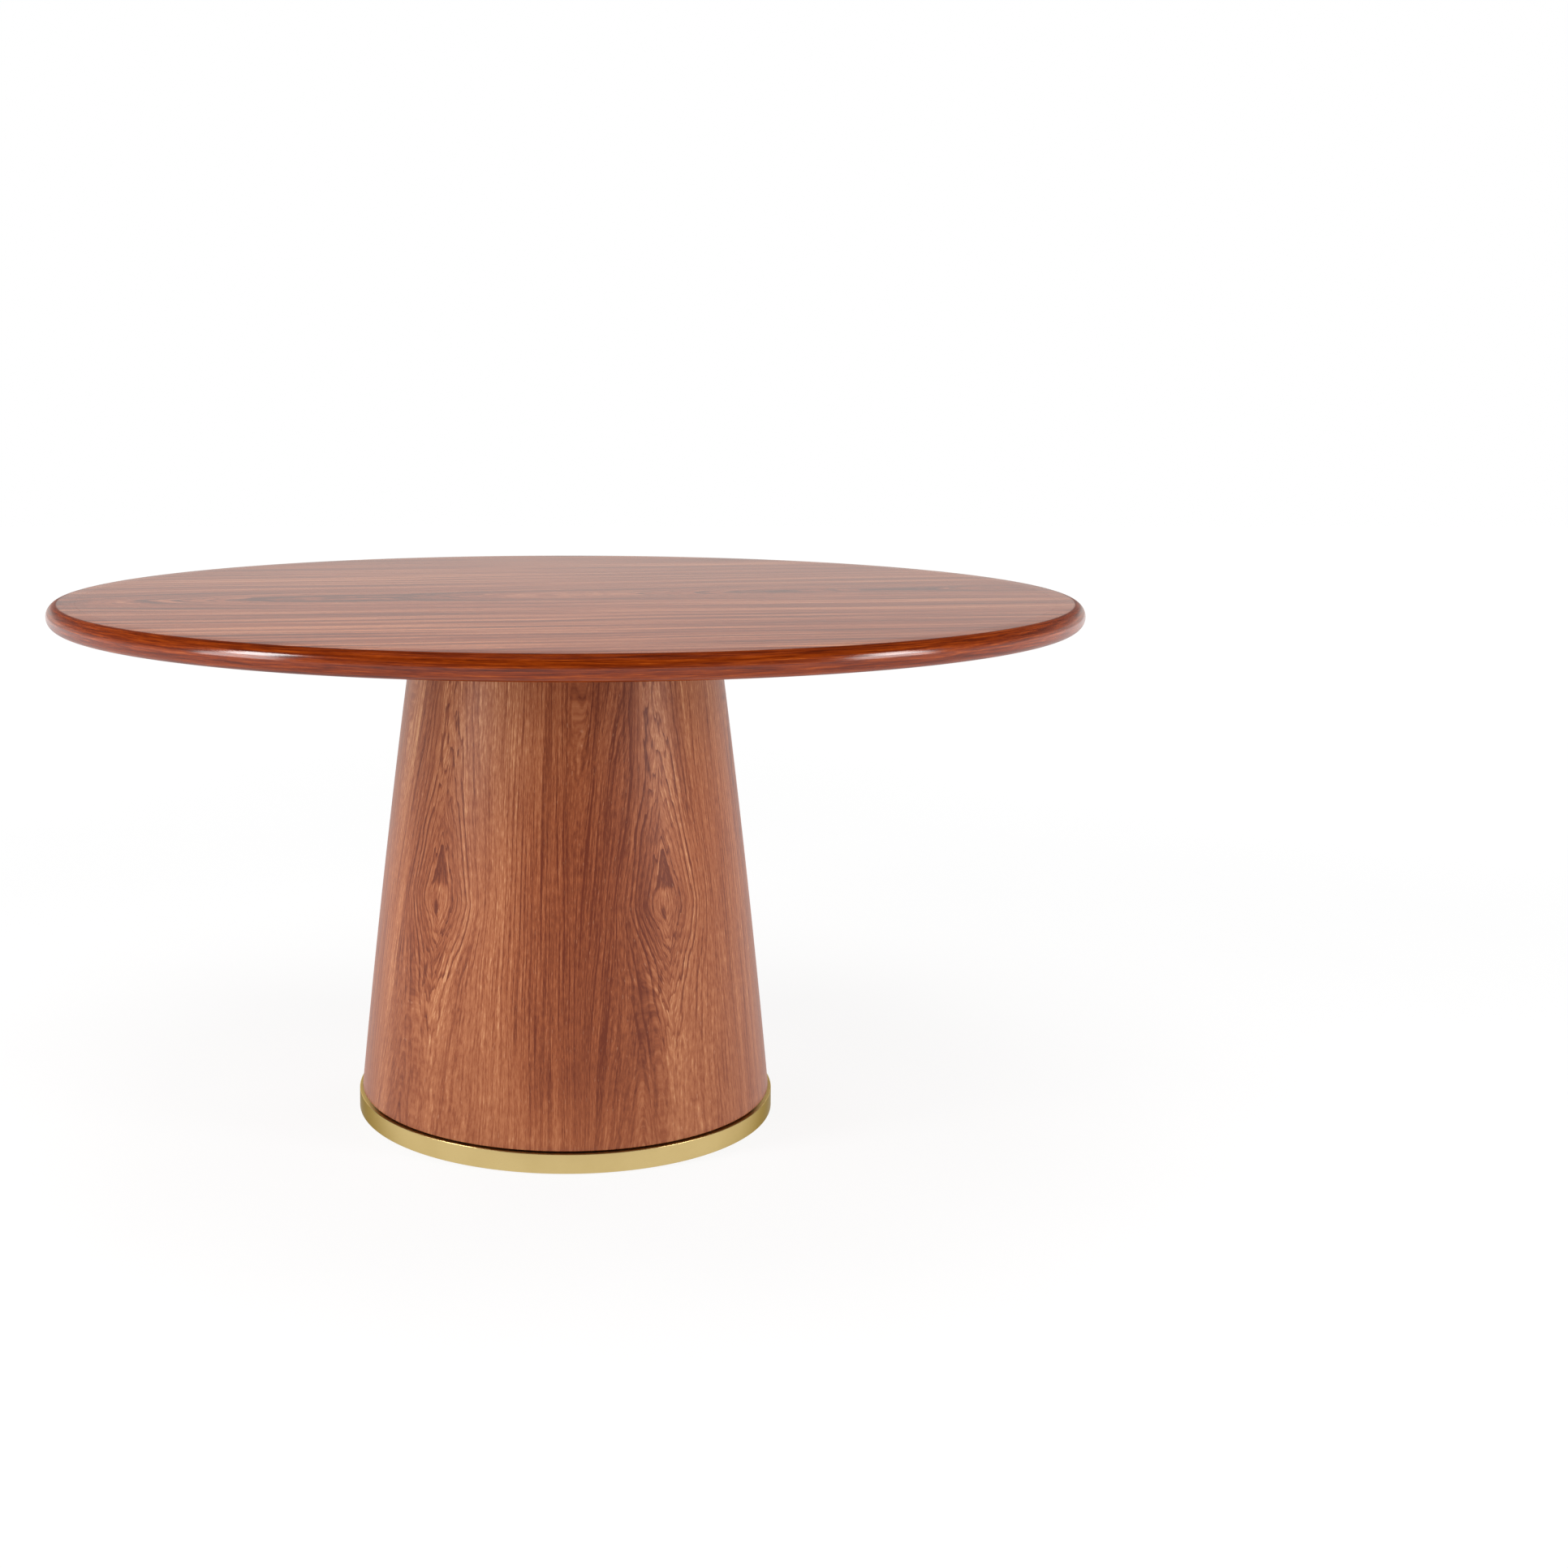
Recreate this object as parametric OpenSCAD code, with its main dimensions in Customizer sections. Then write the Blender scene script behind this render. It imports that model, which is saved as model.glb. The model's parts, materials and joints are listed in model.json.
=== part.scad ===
// Tilt top table: round veneered top that tips up on a weighted, tapering round pedestal.
// Origin: centre of the footprint, on the floor. +Z up, -Y is the front, +X is the sitter's right.
// The pivot runs along X near the front of the pedestal, so the tipped top shows its face to the front.

/* [Top] */
// overall diameter of the top
top_d = 1500; // [900:10:1800]
// height of the top surface above the floor
height = 765; // [700:5:780]
// thickness of the top; its edge is a half round of the same depth
top_t = 33; // [24:1:45]
// width of the solid lipping around the core board
lipping_w = 40; // [25:1:60]

/* [Pedestal] */
// radius of the pedestal's foot
foot_r = 303.5; // [200:0.5:360]
// radius the taper would reach at the underside of the top
neck_r = 223.5; // [140:0.5:300]
// swell of the taper at half height
swell = 3.5; // [0:0.5:12]
// thickness of the curved shell panels
shell_t = 14; // [9:1:20]
// height of the pedestal's flat top
cap_z = 670; // [600:1:675]
// thickness of the cap board
cap_t = 12; // [9:1:20]
// thickness of the upper bulkhead
bulkhead_t = 24; // [15:1:30]
// thickness of the cross-lapped ribs
rib_t = 15; // [9:1:20]

/* [Foot] */
// outer radius of the brass foot ring
ring_r = 308; // [210:0.5:370]
// thickness of the ring's wall and flange
ring_t = 3; // [2:0.5:5]
// bottom edge of the ring above the floor
ring_z0 = 2; // [1:0.5:6]
// underside of the base disc above the floor
base_z0 = 8.5; // [8:0.5:14]
// thickness of the base disc
base_t = 17.5; // [12:0.5:24]
// dark gap between ring and pedestal
gap_h = 2; // [1:0.5:6]
// pitch circle radius of the glides
glide_r = 266; // [180:1:300]
// radius of the glide foot
glide_foot_r = 18; // [12:1:24]

/* [Tilt head] */
// distance of the pivot in front of the middle
pivot_y = -205; // [-230:1:-150]
// depth of the pivot below the top's underside
pivot_drop = 30; // [24:1:34]
// inner face of the cheeks from the middle
cheek_x = 97; // [80:1:120]
// thickness of the cheeks
cheek_t = 28; // [20:1:36]
// thickness of the bearers
bearer_t = 38; // [28:1:46]
// radius of the pivot pins
pin_r = 6; // [5:0.5:8]
// running clearance of the pins in their bushes
pin_fit = 0.05; // [0.02:0.01:0.1]

/* [Hidden] */
$fn = 96;
e = 0.01;
top_r = top_d / 2;
under_z = height - top_t;
pivot_z = under_z - pivot_drop;
core_r = top_r - lipping_w;
base_z1 = base_z0 + base_t;
ring_z1 = base_z1 + ring_t;
foot_z = ring_z1 + gap_h;
shell_z1 = cap_z - cap_t;
bulk_z0 = shell_z1 - bulkhead_t;
ballast_t = 12;
ballast_r = 253;
flange_r = 288;
low_z0 = foot_z + 2 * ballast_t;
low_t = 18;
low_z1 = low_z0 + low_t;
tie_xy = 85;
tie_r = 5;
lippings = 6;
panels = 5;
glides = 5;
leaf = 360 / panels;
ring_screw_n = 10;
cheek_x1 = cheek_x + cheek_t;
washer_t = 1.6;
bearer_x0 = cheek_x1 + 2;
bearer_x1 = bearer_x0 + bearer_t;
nose_r = 26;
cheek_top = pivot_z + nose_r;
cheek_y1 = 190;
bush_r = 8;
latch_z = under_z - 17.5;
buffer_l = 29.7;

// ---- shared shapes ----

// outer radius of the pedestal at height z: a straight taper with a faint swell
function taper_u(z) = (z - foot_z) / (under_z - foot_z);
function ped_r(z) = foot_r + (neck_r - foot_r) * taper_u(z) + 4 * swell * taper_u(z) * (1 - taper_u(z));
// inner radius of the shell, less the glue line
function in_r(z) = ped_r(z) - shell_t - 0.1;

// disc whose edge follows the inside of the shell
module former(z0, z1) {
  rotate_extrude()
    polygon([[0, z0], [in_r(z0), z0], [in_r(z1), z1], [0, z1]]);
}

// copies at the four tie rods
module at_ties() {
  for (sx = [-1, 1], sy = [-1, 1])
    translate([sx * tie_xy, sy * tie_xy, 0])
      children();
}

// copies at the glides; the first stands at the front
module at_glides() {
  for (i = [0 : glides - 1])
    rotate([0, 0, -90 + i * 360 / glides])
      translate([glide_r, 0, 0])
        children();
}

module tube(r, bore, h) {
  difference() {
    cylinder(r = r, h = h);
    translate([0, 0, -1])
      cylinder(r = bore, h = h + 2);
  }
}

module hex(af, h) {
  cylinder(r = af / sqrt(3), h = h, $fn = 6);
}

// cylinder along +X from x = 0
module xcyl(r, h) {
  rotate([0, 90, 0])
    cylinder(r = r, h = h);
}

// cylinder along +Y from y = 0
module ycyl(r, h) {
  rotate([-90, 0, 0])
    cylinder(r = r, h = h);
}

// wood screw standing head down, head at z = 0, point up
module wood_screw(r, l) {
  cylinder(r = 2 * r, h = 0.8);
  translate([0, 0, 0.8])
    cylinder(r1 = 2 * r, r2 = r, h = r);
  cylinder(r = r, h = l - 2 * r);
  translate([0, 0, l - 2 * r])
    cylinder(r1 = r, r2 = 0.3, h = 2 * r);
}

// ---- top ----

module top_core() {
  color("#b98d78")
    translate([0, 0, under_z])
      difference() {
        cylinder(r = core_r, h = top_t);
        at_bearer_screws()
          translate([0, 0, -1])
            cylinder(r = 2.5, h = 23);
        at_latch_screws()
          translate([0, 0, -1])
            cylinder(r = 1.75, h = 15);
      }
}

// one bent lipping with a half-round outer edge
module lipping(i) {
  span = 360 / lippings;
  color("#8a4a24")
    rotate([0, 0, -90 + (i - 1.5) * span])
      rotate_extrude(angle = span)
        union() {
          translate([core_r, under_z])
            square([lipping_w - top_t / 2, top_t]);
          translate([top_r - top_t / 2, under_z + top_t / 2])
            circle(r = top_t / 2);
        }
}
module lipping_1() { lipping(1); }
module lipping_2() { lipping(2); }
module lipping_3() { lipping(3); }
module lipping_4() { lipping(4); }
module lipping_5() { lipping(5); }
module lipping_6() { lipping(6); }

bearer_y0 = -560;
bearer_y1 = 560;
bearer_screw_y = [-500, -350, 20, 260, 500];
bearer_d = 52;

// side view of a bearer in the Y-Z plane: deep behind the pivot, slim in front of it
module bearer_side() {
  union() {
    polygon([
      [bearer_y0, under_z], [bearer_y0, under_z - 14], [bearer_y0 + 60, under_z - 26],
      [pivot_y, under_z - 26], [pivot_y, under_z - bearer_d],
      [bearer_y1 - 150, under_z - bearer_d], [bearer_y1, under_z - 18], [bearer_y1, under_z]
    ]);
    translate([pivot_y, pivot_z])
      circle(r = bearer_d - pivot_drop);
  }
}

module at_bearer_screws() {
  for (sx = [-1, 1], y = bearer_screw_y)
    translate([sx * (bearer_x0 + bearer_t / 2), y, 0])
      children();
}

module bearer() {
  difference() {
    translate([bearer_x0, 0, 0])
      rotate([90, 0, 90])
        linear_extrude(bearer_t)
          bearer_side();
    translate([bearer_x0 - 1, pivot_y, pivot_z])
      xcyl(pin_r, bearer_t + 2);
    // counterbored screw holes
    for (y = bearer_screw_y)
      translate([bearer_x0 + bearer_t / 2, y, under_z]) {
        translate([0, 0, -80])
          cylinder(r = 2.6, h = 90);
        translate([0, 0, -94])
          cylinder(r = 6, h = 80);
      }
  }
}

module bearer_right() {
  color("#a86a3c")
    bearer();
}

module bearer_left() {
  color("#a86a3c")
    mirror([1, 0, 0])
      bearer();
}

// heads lie in the counterbores, points reach into the core board
module bearer_screws() {
  color("#b8b8b4")
    at_bearer_screws()
      translate([0, 0, under_z - 17.3])
        wood_screw(2.45, 36);
}

// shoulder pins: head outside the bearer, shank through bearer, washer and bushed cheek
module pivot_pins() {
  color("#9a9c9e")
    for (sx = [0, 1])
      mirror([sx, 0, 0])
        translate([0, pivot_y, pivot_z]) {
          translate([cheek_x - 11, 0, 0])
            xcyl(pin_r, bearer_x1 - cheek_x + 11 + e);
          translate([bearer_x1, 0, 0])
            xcyl(11, 4);
          translate([bearer_x1 + 4, 0, 0])
            rotate([0, 90, 0])
              cylinder(r1 = 11, r2 = 8, h = 2.5);
        }
}

// lock nuts on the inner ends of the pins
module pivot_nuts() {
  color("#c2c2c0")
    for (sx = [0, 1])
      mirror([sx, 0, 0])
        translate([cheek_x - 0.3 - washer_t - 7.5, pivot_y, pivot_z])
          rotate([0, 90, 0])
            difference() {
              hex(17, 7.5);
              translate([0, 0, -1])
                cylinder(r = pin_r, h = 10);
            }
}

// one washer against the bearer, one under each nut
module thrust_washers() {
  color("#c8a85a")
    for (sx = [0, 1])
      mirror([sx, 0, 0])
        translate([0, pivot_y, pivot_z])
          rotate([0, 90, 0]) {
            translate([0, 0, bearer_x0 - washer_t])
              tube(12, pin_r, washer_t);
            translate([0, 0, cheek_x - 0.3 - washer_t])
              tube(10, pin_r, washer_t);
          }
}

// ---- latch under the top ----

latch_w = 21;
case_y0 = 202;
case_y1 = 272;
case_z0 = under_z - 25.5;
bolt_hw = 7;
bolt_z0 = latch_z - 3.5;
bolt_z1 = latch_z + 3.5;
rod_r = 3;
spring_y0 = 236;
spring_y1 = 268;

module at_latch_screws() {
  for (sx = [-1, 1], y = [210, 263])
    translate([sx * 19, y, 0])
      children();
}

// cast brass case screwed under the top: the bolt slides through it, the spring sits behind
module latch_case() {
  color("#b39a55")
    difference() {
      union() {
        translate([-27, case_y0, under_z - 3])
          cube([54, case_y1 - case_y0, 3]);
        translate([-latch_w / 2, case_y0, case_z0])
          cube([latch_w, case_y1 - case_y0, under_z - 3 - case_z0 + e]);
      }
      // bolt channel, open to the front
      translate([-bolt_hw - 0.35, case_y0 - 1, bolt_z0 - 0.35])
        cube([2 * bolt_hw + 0.7, 255 - case_y0 + 1, bolt_z1 - bolt_z0 + 0.7]);
      // round chamber for the spring
      translate([0, spring_y0 - 4, latch_z])
        ycyl(5.2, spring_y1 + 0.2 - spring_y0 + 4);
      // hole for the rod in the rear wall
      translate([0, case_y1 - 5, latch_z])
        ycyl(rod_r + 0.35, 8);
      at_latch_screws()
        translate([0, 0, under_z - 4])
          cylinder(r = 1.8, h = 6);
    }
}

module latch_screws() {
  color("#c7b06a")
    at_latch_screws() {
      translate([0, 0, under_z - 4.6])
        cylinder(r1 = 2.4, r2 = 3.4, h = 1.6);
      translate([0, 0, under_z - 4])
        cylinder(r = 1.7, h = 16);
    }
}

// sliding bolt with a bevelled nose, a shoulder for the spring and a round rod to the knob
module latch_bolt() {
  color("#c9b06b")
    union() {
      translate([bolt_hw, 0, 0])
        rotate([90, 0, -90])
          linear_extrude(2 * bolt_hw)
            polygon([
              [-176, bolt_z1], [-181, bolt_z0], [-spring_y0, bolt_z0], [-spring_y0, bolt_z1]
            ]);
      translate([0, spring_y0 - e, latch_z])
        ycyl(rod_r, 62.9);
    }
}

// turned knob, screwed on the rod
module latch_knob() {
  color("#c9b06b")
    translate([0, 293, latch_z])
      rotate([-90, 0, 0])
        difference() {
          union() {
            cylinder(r1 = 6.5, r2 = 5, h = 3);
            cylinder(r = 5, h = 8);
            translate([0, 0, 14])
              sphere(r = 9);
          }
          translate([0, 0, -1])
            cylinder(r = rod_r, h = 7 + e);
        }
}

// coils of the return spring around the rod
module latch_spring() {
  color("#8f9294")
    for (i = [0 : 9])
      translate([0, spring_y0 + 0.8 + i * 3.37, latch_z])
        rotate([-90, 0, 0])
          rotate_extrude($fn = 48)
            translate([3.3 + 0.6 + 0.2, 0])
              circle(r = 0.6, $fn = 16);
}

// ---- tilt head on the pedestal ----

module cheek() {
  difference() {
    translate([cheek_x, 0, 0])
      rotate([90, 0, 90])
        linear_extrude(cheek_t)
          difference() {
            union() {
              polygon([
                [pivot_y, cheek_top], [pivot_y, pivot_z], [pivot_y + 12, cap_z],
                [cheek_y1, cap_z], [cheek_y1, cheek_top - 8], [cheek_y1 - 8, cheek_top]
              ]);
              translate([pivot_y, pivot_z])
                circle(r = nose_r);
            }
            // hand holes
            translate([-70, (cap_z + cheek_top) / 2])
              circle(r = 14);
            translate([60, (cap_z + cheek_top) / 2])
              circle(r = 14);
          }
    translate([cheek_x - 1, pivot_y, pivot_z])
      xcyl(bush_r, cheek_t + 2);
    for (y = [-120, 120])
      translate([cheek_x + cheek_t / 2, y, cap_z - 1])
        cylinder(r = 4, h = 37);
  }
}

module cheek_right() {
  color("#9c6238")
    cheek();
}

module cheek_left() {
  color("#9c6238")
    mirror([1, 0, 0])
      cheek();
}

// low rail that carries the stop buffers; the pin nuts turn above it
module front_rail() {
  color("#9c6238")
    translate([-cheek_x, -208, cap_z])
      cube([2 * cheek_x, 24, 19]);
}

// rail that carries the strike; the bolt enters its mortise
module rear_rail() {
  color("#9c6238")
    difference() {
      translate([-cheek_x, cheek_y1 - 28, cap_z])
        cube([2 * cheek_x, 28, cheek_top - cap_z - 1]);
      translate([-8.5, cheek_y1 - 20, bolt_z0 - 1.5])
        cube([17, 21, bolt_z1 - bolt_z0 + 3]);
      at_strike_screws()
        translate([0, -12, 0])
          ycyl(1.5, 13);
    }
}

// hexagon bolts from inside the pedestal up into the cheeks
module head_bolts() {
  color("#a3a5a6")
    for (sx = [-1, 1], y = [-120, 120])
      translate([sx * (cheek_x + cheek_t / 2), y, 0]) {
        translate([0, 0, bulk_z0 - 5.5])
          hex(13, 5.5);
        translate([0, 0, bulk_z0 - e])
          cylinder(r = 4, h = cap_z + 34 - bulk_z0);
      }
}

// bronze bushes pressed into the cheeks
module pivot_bushes() {
  color("#b98a45")
    for (sx = [0, 1])
      mirror([sx, 0, 0])
        translate([cheek_x, pivot_y, pivot_z])
          rotate([0, 90, 0])
            tube(bush_r, pin_r + pin_fit, cheek_t);
}

// soft pads on the cheeks under the closed top
module rest_pads() {
  color("#3a3a3a")
    for (sx = [-1, 1], y = [-160, 165])
      translate([sx * (cheek_x + cheek_t / 2), y, cheek_top])
        cylinder(r = 10, h = under_z - 0.3 - cheek_top);
}

// domed rubber buffers that stop the tipped top
module stop_buffers() {
  color("#2c2c2c")
    for (sx = [-1, 1])
      translate([sx * 60, -208, cap_z + 10])
        rotate([90, 0, 0])
          union() {
            cylinder(r = 9.5, h = buffer_l - 10);
            intersection() {
              translate([0, 0, buffer_l - 10 - e])
                cylinder(r = 9.5, h = 11);
              translate([0, 0, buffer_l - 16])
                sphere(r = 16);
            }
          }
}

module at_strike_screws() {
  for (sx = [-1, 1])
    translate([sx * 15, cheek_y1, latch_z])
      children();
}

// brass plate with the slot the bolt enters
module strike_plate() {
  color("#c9b06b")
    difference() {
      translate([-21, cheek_y1, bolt_z0 - 6])
        cube([42, 2, bolt_z1 - bolt_z0 + 12]);
      translate([-8, cheek_y1 - 1, bolt_z0 - 1])
        cube([16, 4, bolt_z1 - bolt_z0 + 2]);
      at_strike_screws()
        translate([0, -1, 0])
          ycyl(1.5, 4);
    }
}

module strike_screws() {
  color("#d4bd7a")
    at_strike_screws() {
      translate([0, -11, 0])
        ycyl(1.45, 13);
      translate([0, 2, 0])
        rotate([-90, 0, 0])
          cylinder(r1 = 3, r2 = 2, h = 1.2);
    }
}

// ---- pedestal ----

module pedestal_cap() {
  color("#8c5636")
    difference() {
      rotate_extrude()
        polygon([
          [0, shell_z1], [ped_r(shell_z1), shell_z1], [ped_r(cap_z - 1.5), cap_z - 1.5],
          [ped_r(cap_z) - 1.5, cap_z], [0, cap_z]
        ]);
      at_ties()
        translate([0, 0, shell_z1 - 1])
          cylinder(r = tie_r + 0.5, h = cap_t + 2);
      head_bolt_holes();
    }
}

module head_bolt_holes() {
  for (sx = [-1, 1], y = [-120, 120])
    translate([sx * (cheek_x + cheek_t / 2), y, bulk_z0 - 1])
      cylinder(r = 4.5, h = cap_z - bulk_z0 + 2);
}

module upper_bulkhead() {
  color("#c49a6c")
    difference() {
      former(bulk_z0, shell_z1);
      at_ties()
        translate([0, 0, bulk_z0 - 1])
          cylinder(r = tie_r + 0.5, h = bulkhead_t + 2);
      head_bolt_holes();
    }
}

module lower_bulkhead() {
  color("#c49a6c")
    difference() {
      former(low_z0, low_z1);
      at_ties()
        translate([0, 0, low_z0 - 1])
          cylinder(r = tie_r + 0.5, h = low_t + 2);
    }
}

// upright board across the pedestal, with lightening holes and a half lap
module rib(slot_from_top) {
  mid = (low_z1 + bulk_z0) / 2;
  slot = rib_t / 2 + 0.2;
  translate([0, rib_t / 2, 0])
    rotate([90, 0, 0])
      linear_extrude(rib_t)
        difference() {
          polygon([
            [-in_r(low_z1) + 0.6, low_z1], [in_r(low_z1) - 0.6, low_z1],
            [in_r(mid) - 0.6, mid], [in_r(bulk_z0) - 0.6, bulk_z0],
            [-in_r(bulk_z0) + 0.6, bulk_z0], [-in_r(mid) + 0.6, mid]
          ]);
          if (slot_from_top)
            translate([-slot, mid])
              square([2 * slot, bulk_z0 - mid + 1]);
          else
            translate([-slot, low_z1 - 1])
              square([2 * slot, mid - low_z1 + 1]);
          for (sx = [-1, 1], z = [200, 355, 510])
            translate([sx * 125, z])
              circle(r = 48);
        }
}

module rib_long() {
  color("#cfa878")
    rib(true);
}

module rib_cross() {
  color("#cfa878")
    rotate([0, 0, 90])
      rib(false);
}

// one curved shell panel, the width of one veneer leaf; joints start at the front
module shell_panel(i) {
  n = 14;
  step = (shell_z1 - foot_z) / n;
  color("#96583a")
    rotate([0, 0, -90 + (i - 1) * leaf])
      rotate_extrude(angle = leaf)
        polygon(concat(
          [[ped_r(foot_z) - 1.2, foot_z]],
          [[ped_r(foot_z + 1.2), foot_z + 1.2]],
          [for (k = [1 : n]) [ped_r(foot_z + k * step), foot_z + k * step]],
          [for (k = [n : -1 : 0]) [ped_r(foot_z + k * step) - shell_t, foot_z + k * step]]
        ));
}
module shell_panel_1() { shell_panel(1); }
module shell_panel_2() { shell_panel(2); }
module shell_panel_3() { shell_panel(3); }
module shell_panel_4() { shell_panel(4); }
module shell_panel_5() { shell_panel(5); }

module ballast_plates() {
  color("#55585a")
    for (k = [0, 1])
      translate([0, 0, foot_z + k * ballast_t])
        difference() {
          cylinder(r = ballast_r, h = ballast_t - 0.2);
          at_ties()
            translate([0, 0, -1])
              cylinder(r = tie_r + 0.5, h = ballast_t + 2);
        }
}

tie_z0 = base_z0 + 0.7;
tie_z1 = cap_z + 12;
tie_nut_t = 5.5;
tie_seat = base_z0 + 8;

module tie_rods() {
  color("#9da0a2")
    at_ties()
      translate([0, 0, tie_z0])
        cylinder(r = tie_r, h = tie_z1 - tie_z0);
}

module tie_nuts() {
  color("#b5b7b8")
    at_ties() {
      translate([0, 0, tie_seat - 1.5 - tie_nut_t])
        difference() {
          hex(16, tie_nut_t);
          translate([0, 0, -1])
            cylinder(r = tie_r, h = tie_nut_t + 2);
        }
      translate([0, 0, cap_z + 1.5])
        difference() {
          hex(16, 8);
          translate([0, 0, -1])
            cylinder(r = tie_r, h = 10);
        }
    }
}

module tie_washers() {
  color("#c4c6c6")
    at_ties() {
      translate([0, 0, tie_seat - 1.5])
        tube(11, tie_r + 0.2, 1.5);
      translate([0, 0, cap_z])
        tube(10, tie_r + 0.2, 1.5);
    }
}

// ---- foot ----

// black stepped disc: fills the ring's flange and carries the shell above the shadow gap
module spacer_disc() {
  color("#1c1c1c")
    difference() {
      rotate_extrude()
        polygon([
          [0, base_z1], [flange_r - 0.5, base_z1], [flange_r - 0.5, ring_z1],
          [foot_r - 7.5, ring_z1], [foot_r - 7.5, foot_z], [0, foot_z]
        ]);
      at_ties()
        translate([0, 0, base_z1 - 1])
          cylinder(r = tie_r + 0.5, h = 8);
      at_glides()
        translate([0, 0, base_z1 - 1])
          cylinder(r = 7, h = 8);
    }
}

// brass ring with an inward flange; its outer corner is softened
module foot_ring() {
  color("#c9b57a")
    difference() {
      rotate_extrude()
        polygon([
          [ring_r - ring_t, ring_z0], [ring_r - 0.5, ring_z0], [ring_r, ring_z0 + 0.5],
          [ring_r, ring_z1 - 1.2], [ring_r - 0.35, ring_z1 - 0.35], [ring_r - 1.2, ring_z1],
          [flange_r, ring_z1], [flange_r, base_z1], [ring_r - ring_t, base_z1]
        ]);
      at_ring_screws()
        translate([0, 0, base_z1 - 1])
          cylinder(r = 2, h = ring_t + 2);
    }
}

module at_ring_screws() {
  for (i = [0 : ring_screw_n - 1])
    rotate([0, 0, -90 + (i + 0.5) * 360 / ring_screw_n])
      translate([ring_r - 11, 0, 0])
        children();
}

// pan heads under the base disc, threads in the ring's flange
module ring_screws() {
  color("#b5b7b8")
    at_ring_screws() {
      translate([0, 0, base_z0 - 2.4])
        cylinder(r1 = 3, r2 = 4, h = 2.4);
      translate([0, 0, base_z0 - e])
        cylinder(r = 1.95, h = ring_z1 - 0.2 - base_z0);
    }
}

module base_disc() {
  color("#b8895c")
    difference() {
      translate([0, 0, base_z0])
        cylinder(r = ring_r - ring_t - 0.3, h = base_t);
      at_ties() {
        translate([0, 0, base_z0 - 1])
          cylinder(r = tie_r + 0.5, h = base_t + 2);
        translate([0, 0, base_z0 - 1])
          cylinder(r = 12, h = 9);
      }
      at_glides()
        translate([0, 0, base_z0 - 1])
          cylinder(r = 8, h = base_t + 2);
      at_ring_screws()
        translate([0, 0, base_z0 - 1])
          cylinder(r = 2.25, h = base_t + 2);
    }
}

// threaded sleeves pressed into the base disc
module glide_inserts() {
  color("#c2a55c")
    at_glides()
      translate([0, 0, base_z0])
        tube(8, 5.05, base_t);
}

// levelling glide: steel foot plate and stem, shown wound right in
module glide(i) {
  color("#a8aaab")
    rotate([0, 0, -90 + (i - 1) * 360 / glides])
      translate([glide_r, 0, 0]) {
        translate([0, 0, 4])
          cylinder(r = glide_foot_r - 1, h = 1.6);
        translate([0, 0, 5.6 - e])
          hex(14, 2.6);
        translate([0, 0, 6])
          cylinder(r = 5, h = 38);
      }
}
module glide_1() { glide(1); }
module glide_2() { glide(2); }
module glide_3() { glide(3); }
module glide_4() { glide(4); }
module glide_5() { glide(5); }

// nylon pad under the glide's foot plate
module glide_pad(i) {
  color("#4a4a4c")
    rotate([0, 0, -90 + (i - 1) * 360 / glides])
      translate([glide_r, 0, 0])
        union() {
          cylinder(r1 = glide_foot_r - 1.5, r2 = glide_foot_r, h = 1.5);
          translate([0, 0, 1.5])
            cylinder(r = glide_foot_r, h = 2.5);
        }
}
module glide_pad_1() { glide_pad(1); }
module glide_pad_2() { glide_pad(2); }
module glide_pad_3() { glide_pad(3); }
module glide_pad_4() { glide_pad(4); }
module glide_pad_5() { glide_pad(5); }

top_core();
lipping_1();
lipping_2();
lipping_3();
lipping_4();
lipping_5();
lipping_6();
bearer_left();
bearer_right();
bearer_screws();
pivot_pins();
pivot_nuts();
thrust_washers();
latch_case();
latch_screws();
latch_spring();
latch_bolt();
latch_knob();
cheek_left();
cheek_right();
front_rail();
rear_rail();
head_bolts();
pivot_bushes();
rest_pads();
stop_buffers();
strike_plate();
strike_screws();
pedestal_cap();
upper_bulkhead();
rib_long();
rib_cross();
lower_bulkhead();
ballast_plates();
shell_panel_1();
shell_panel_2();
shell_panel_3();
shell_panel_4();
shell_panel_5();
tie_rods();
tie_nuts();
tie_washers();
spacer_disc();
foot_ring();
ring_screws();
base_disc();
glide_inserts();
glide_1();
glide_2();
glide_3();
glide_4();
glide_5();
glide_pad_1();
glide_pad_2();
glide_pad_3();
glide_pad_4();
glide_pad_5();
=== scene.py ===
import json
import math
import bmesh
import bpy
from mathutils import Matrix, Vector


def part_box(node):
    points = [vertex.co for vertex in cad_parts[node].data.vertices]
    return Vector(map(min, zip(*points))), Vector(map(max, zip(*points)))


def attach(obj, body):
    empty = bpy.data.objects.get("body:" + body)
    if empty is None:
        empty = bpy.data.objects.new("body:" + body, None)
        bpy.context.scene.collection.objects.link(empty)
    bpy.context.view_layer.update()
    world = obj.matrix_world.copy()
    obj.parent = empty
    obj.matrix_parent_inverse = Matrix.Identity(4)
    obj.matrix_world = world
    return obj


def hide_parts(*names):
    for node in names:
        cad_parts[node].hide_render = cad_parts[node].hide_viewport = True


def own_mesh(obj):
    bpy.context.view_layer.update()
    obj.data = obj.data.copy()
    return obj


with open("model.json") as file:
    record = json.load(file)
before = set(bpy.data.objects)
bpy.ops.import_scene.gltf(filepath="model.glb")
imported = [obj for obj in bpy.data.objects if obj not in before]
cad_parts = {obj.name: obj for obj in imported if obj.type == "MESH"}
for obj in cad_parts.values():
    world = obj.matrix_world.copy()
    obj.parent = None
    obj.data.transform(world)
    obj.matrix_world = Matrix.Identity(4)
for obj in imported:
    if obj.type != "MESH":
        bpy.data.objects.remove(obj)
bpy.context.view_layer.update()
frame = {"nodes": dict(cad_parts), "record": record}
nodes = frame["nodes"]
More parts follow.
